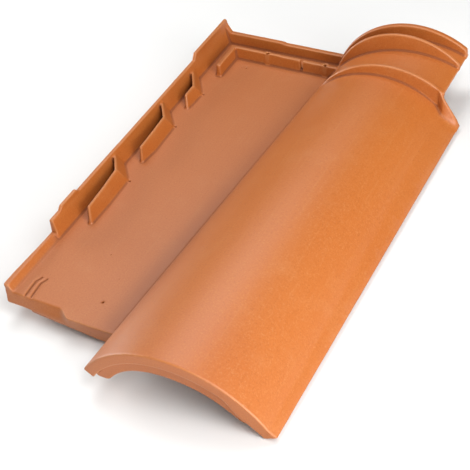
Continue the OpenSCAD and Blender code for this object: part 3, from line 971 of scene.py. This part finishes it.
def mesh_of(name: str, verts: Array, faces: Array) -> bpy.types.Mesh:
    """Puts vertices and quads into a new mesh as whole arrays.

    Args:
        name: the mesh's name.
        verts: one row for each vertex.
        faces: one row of four vertex numbers for each face.

    Returns:
        The mesh.
    """
    mesh = bpy.data.meshes.new(name)
    mesh.vertices.add(len(verts))
    mesh.vertices.foreach_set("co", verts.astype(np.float32).ravel())
    mesh.loops.add(faces.size)
    mesh.loops.foreach_set("vertex_index", faces.astype(np.int32).ravel())
    mesh.polygons.add(len(faces))
    mesh.polygons.foreach_set("loop_start", np.arange(0, faces.size, faces.shape[1], dtype=np.int32))
    mesh.update(calc_edges=True)
    return mesh


def put(name: str, data: bpy.types.ID) -> bpy.types.Object:
    """Makes an object of a mesh, camera or light and puts it into the scene."""
    obj = bpy.data.objects.new(name, data)
    bpy.context.scene.collection.objects.link(obj)
    return obj


class Nodes:
    """The node tree of a material or world, with one way of adding to it."""

    def __init__(self, owner: bpy.types.Material | bpy.types.World) -> None:
        """Empties the owner's tree."""
        owner.use_nodes = True
        self.owner = owner
        self.tree = owner.node_tree
        self.tree.nodes.clear()

    def add(self, kind: str, settings: dict[str, str] | None = None, **inputs: object) -> bpy.types.Node:
        """Adds a node with its settings and links.

        Args:
            kind: the node's Blender type.
            settings: the node's own properties.
            inputs: socket name, or i and its number, against a value or the output socket to link.

        Returns:
            The node.
        """
        node = self.tree.nodes.new(kind)
        for key, value in (settings or {}).items():
            setattr(node, key, value)
        for key, value in inputs.items():
            number = key[1:]
            socket = node.inputs[int(number)] if number.isdigit() else node.inputs[key.replace("_", " ")]
            if isinstance(value, Socket):
                self.tree.links.new(value, socket)
            else:
                socket.default_value = value
        return node

    def noise(self, place: Socket, scale: float, detail: float, rough: float) -> Socket:
        """Adds a noise pattern over `place`, with `scale` patches to the unit, and returns its value."""
        return self.add(
            "ShaderNodeTexNoise", Vector=place, Scale=scale, Detail=detail, Roughness=rough
        ).outputs[0]

    def ramp(
        self, value: Socket, low: float, high: float, most: float = 1.0, least: float = 0.0
    ) -> Socket:
        """Turns a value into a mask: `least` up to low, rising smoothly to `most` at high."""
        smooth = {"interpolation_type": "SMOOTHSTEP"}
        node = self.add("ShaderNodeMapRange", smooth, i0=value, i1=low, i2=high, i3=least, i4=most)
        return node.outputs[0]

    def mix(self, mask: Socket, a: object, b: object) -> Socket:
        """Mixes colour a with colour b by a mask, the share of b; each is a value or a socket."""
        return self.add("ShaderNodeMix", {"data_type": "RGBA"}, i0=mask, i6=a, i7=b).outputs[2]

    def most(self, a: Socket, b: Socket) -> Socket:
        """The larger of two values."""
        return self.add("ShaderNodeMath", {"operation": "MAXIMUM"}, i0=a, i1=b).outputs[0]


@dataclass(frozen=True)
class FiredClay:
    """Unglazed terracotta, pressed in a plaster mould and kiln fired.

    The press leaves a close, slightly sandy face with faint drag lines along the tile; the fire leaves
    slow orange clouds. The pan's floor is painted rosier than the standing parts, a painted sheen;
    handling pales the edges, helped by a painted edge highlight, and the corners and hollows carry
    painted shade.
    """

    seat: Seat
    grit_mm: float = 1.5
    mottle_mm: float = 34.0
    drag_mm: float = 2.6
    drag_length_mm: float = 90.0
    roughness: float = 0.45
    ior: float = 1.57

    def make(self) -> bpy.types.Material:
        """Builds the material.

        Returns:
            The finished material.
        """
        n = Nodes(bpy.data.materials.new("terracotta_pressed_fired"))
        s, c = self.seat.trig
        a, b, h = (-v for v in self.seat.shift)
        spot = n.add(
            "ShaderNodeMapping",
            i0=n.add("ShaderNodeTexCoord").outputs["Object"],
            i1=(a * c - h * s, b, a * s + h * c),
            i2=(0.0, -math.radians(self.seat.tilt), 0.0),
            i3=(1000.0, 1000.0, 1000.0),
        ).outputs[0]
        tile = n.add("ShaderNodeSeparateXYZ", i0=spot).outputs
        thin = 1 / self.drag_mm
        stretch = n.add("ShaderNodeMapping", i0=spot, i3=(thin, 1 / self.drag_length_mm, thin)).outputs[0]
        mottle = n.noise(spot, 1 / self.mottle_mm, 4.0, 0.55)
        cloud = n.noise(spot, 1 / (self.mottle_mm * 4), 2.0, 0.5)
        grit = n.noise(spot, 1 / self.grit_mm, 3.0, 0.7)
        drag = n.noise(stretch, 1.0, 3.0, 0.6)
        wear_highlight_crease_shade, hollow, valley = (
            n.add("ShaderNodeAttribute", {"attribute_name": name}).outputs["Fac"] for name in SHADES
        )
        # rose on the pan's floor, orange on everything that stands up: a painted sheen, the flat floor
        # rosier
        painted_sheen_zone = n.most(n.ramp(tile["X"], 116.0, 150.0), n.ramp(tile["Z"], 0.4, 3.5))
        ground = n.mix(painted_sheen_zone, linear(Tone.PAN), linear(Tone.ROLL))
        # kiln clouds, drag lines and grit, then painted shade in the valley, paler rubbed edges with a
        # painted edge highlight, and painted shade in inner corners, hollows, pockets and bores
        coats = (
            (cloud, 0.45, 0.75, 0.35, Tone.EMBER),
            (mottle, 0.5, 0.8, 0.12, Tone.PALE),
            (drag, 0.52, 0.8, 0.08, Tone.GRIT_PALE),
            (grit, 0.52, 0.72, 0.25, Tone.GRIT_PALE),
            (grit, 0.48, 0.28, 0.42, Tone.GRIT_DARK),
            (valley, 0.0, 1.0, 0.5, Tone.SHADE),
            # rubbed edges paled with a painted edge highlight; inner creases given painted shade
            (wear_highlight_crease_shade, 0.20, 0.42, 0.24, Tone.PALE),
            (wear_highlight_crease_shade, -0.06, -0.30, 0.6, Tone.DEEP_SHADE),
            (hollow, -0.6, -2.1, 0.9, Tone.DEEP_SHADE),
        )
        for source, low, high, most, tone in coats:
            ground = n.mix(n.ramp(source, low, high, most), ground, linear(tone))
        blend = {"operation": "MULTIPLY_ADD"}
        relief = n.add("ShaderNodeMath", blend, i0=drag, i1=0.8, i2=grit).outputs[0]
        bump = n.add("ShaderNodeBump", Strength=0.35, Distance=0.00022, Height=relief).outputs[0]
        # the press polishes the open faces; corners and sandy spots stay dull
        dull = n.most(n.ramp(wear_highlight_crease_shade, -0.05, -0.25, 0.4), n.ramp(grit, 0.5, 0.7, 0.15))
        sheen = n.add("ShaderNodeMath", i0=dull, i1=self.roughness).outputs[0]
        bsdf = n.add(
            "ShaderNodeBsdfPrincipled", Base_Color=ground, Roughness=sheen, IOR=self.ior, Normal=bump
        )
        n.add("ShaderNodeOutputMaterial", Surface=bsdf.outputs[0])
        return n.owner


@dataclass(frozen=True)
class SoftBox:
    """One soft box: its azimuth from the front to the right and elevation in degrees, watts, metres."""

    name: str
    azimuth: float
    elevation: float
    power: float
    size: float = 0.6
    distance: float = 1.2


@dataclass
class Studio:
    """Pale floor and backdrop, a ring of soft boxes, and the camera."""

    seat: Seat
    azimuth: float = 32.91
    elevation: float = 42.39
    roll: float = -7.765
    distance: float = 1216.3
    target: Point = (62.135, 320.824, -145.933)
    lens: float = 86.296
    shift: Flat = (0.01731, 0.00397)
    floor_radius: float = 1.05
    floor_grid: int = 33
    sky: Flat = (1.0, 0.005)
    horizon: Flat = (0.0, 0.09)
    boxes: tuple[SoftBox, ...] = (
        SoftBox("key_low", 66.0, 18.0, 11.5),
        SoftBox("key_high", 66.0, 52.0, 9.2),
        SoftBox("left", 268.0, 19.0, 11.5),
        SoftBox("rear_high", 205.0, 67.0, 11.3, 0.8, 1.4),
        SoftBox("front", 25.0, 10.0, 2.2, 0.5, 0.8),
    )

    def camera(self) -> None:
        """Places the camera: out from the target by azimuth and elevation, rolled about its view."""
        az, ro = math.radians(self.azimuth), math.radians(self.roll)
        back = outward(self.azimuth, self.elevation)
        right = Vector((math.cos(az), math.sin(az), 0.0))
        up = back.cross(right)
        side = math.cos(ro) * right + math.sin(ro) * up
        head = -math.sin(ro) * right + math.cos(ro) * up
        spot = Vector(self.target) + back * self.distance
        turn = self.seat.turn
        matrix = Matrix((turn @ side, turn @ head, turn @ back)).transposed().to_4x4()
        matrix.translation = (turn @ spot + Vector(self.seat.shift)) / 1000
        data = bpy.data.cameras.new("camera")
        data.sensor_width = 36.0
        data.lens = self.lens
        data.shift_x, data.shift_y = self.shift
        data.clip_start, data.clip_end = 0.01, 30.0
        obj = put("camera", data)
        obj.matrix_world = matrix
        bpy.context.scene.camera = obj

    def floor(self) -> None:
        """Lays the floor: a level round sheet that ends inside the ring of soft boxes.

        Formula: a square grid of u and v from -1 to 1 pulled round, X = u * sqrt(1 - v * v / 2) and
        Y = v * sqrt(1 - u * u / 2), times the radius.
        """
        line = np.linspace(-1, 1, self.floor_grid)
        u, v = np.meshgrid(line, line, indexing="ij")
        round_x, round_y = u * np.sqrt(1 - v * v / 2), v * np.sqrt(1 - u * u / 2)
        verts = np.stack((round_x, round_y, np.zeros_like(u)), axis=-1).reshape(-1, 3) * self.floor_radius
        i = np.arange(u.size).reshape(u.shape)
        quads = np.stack((i[:-1, :-1], i[1:, :-1], i[1:, 1:], i[:-1, 1:]), axis=-1).reshape(-1, 4)
        obj = put("floor", mesh_of("floor", verts, quads))
        n = Nodes(bpy.data.materials.new("studio_floor"))
        bsdf = n.add("ShaderNodeBsdfPrincipled", Base_Color=linear(Tone.FLOOR), Roughness=0.9)
        n.add("ShaderNodeOutputMaterial", Surface=bsdf.outputs[0])
        obj.data.materials.append(n.owner)

    def light(self, box: SoftBox) -> None:
        """Hangs one square soft box, facing the tile.

        Args:
            box: where it hangs and how strong it is.
        """
        out = outward(box.azimuth, box.elevation)
        data = bpy.data.lights.new(box.name, "AREA")
        data.shape = "SQUARE"
        data.size = box.size
        data.energy = box.power
        obj = put(box.name, data)
        obj.location = out * box.distance
        obj.rotation_euler = (-out).to_track_quat("-Z", "Y").to_euler()

    def backdrop(self) -> None:
        """Hangs a pale backdrop round the floor, dark above so that only the soft boxes light the tile.

        Formula: the strength falls from sky[0] to sky[1] by a smooth step while the upward share of the
        direction rises from horizon[0] to horizon[1].
        """
        n = Nodes(bpy.data.worlds.new("studio"))
        split = n.add("ShaderNodeSeparateXYZ", i0=n.add("ShaderNodeTexCoord").outputs["Generated"])
        fade = n.ramp(split.outputs["Z"], *self.horizon, most=self.sky[1], least=self.sky[0])
        ground = n.add("ShaderNodeBackground", Color=linear(Tone.SKY), Strength=fade)
        n.add("ShaderNodeOutputWorld", Surface=ground.outputs[0])
        bpy.context.scene.world = n.owner

    def build(self) -> None:
        """Sets up camera, floor, backdrop and lights."""
        self.camera()
        self.floor()
        self.backdrop()
        for box in self.boxes:
            self.light(box)
        bpy.context.scene.view_settings.view_transform = "Standard"


def main() -> None:
    """Builds the tile and the studio in order and reports each piece."""
    logging.basicConfig(level=logging.INFO, format="%(name)s: %(message)s")
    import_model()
    seat = Seat()
    Studio(seat).build()
    log.info("studio ready")
    body = ClayBody(seat).build()
    body.data.materials.append(FiredClay(seat).make())
    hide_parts("roof_tile")
    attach(body, "root")
    log.info("piece %s rides on root", body.name)


if __name__ == "__main__":
    main()
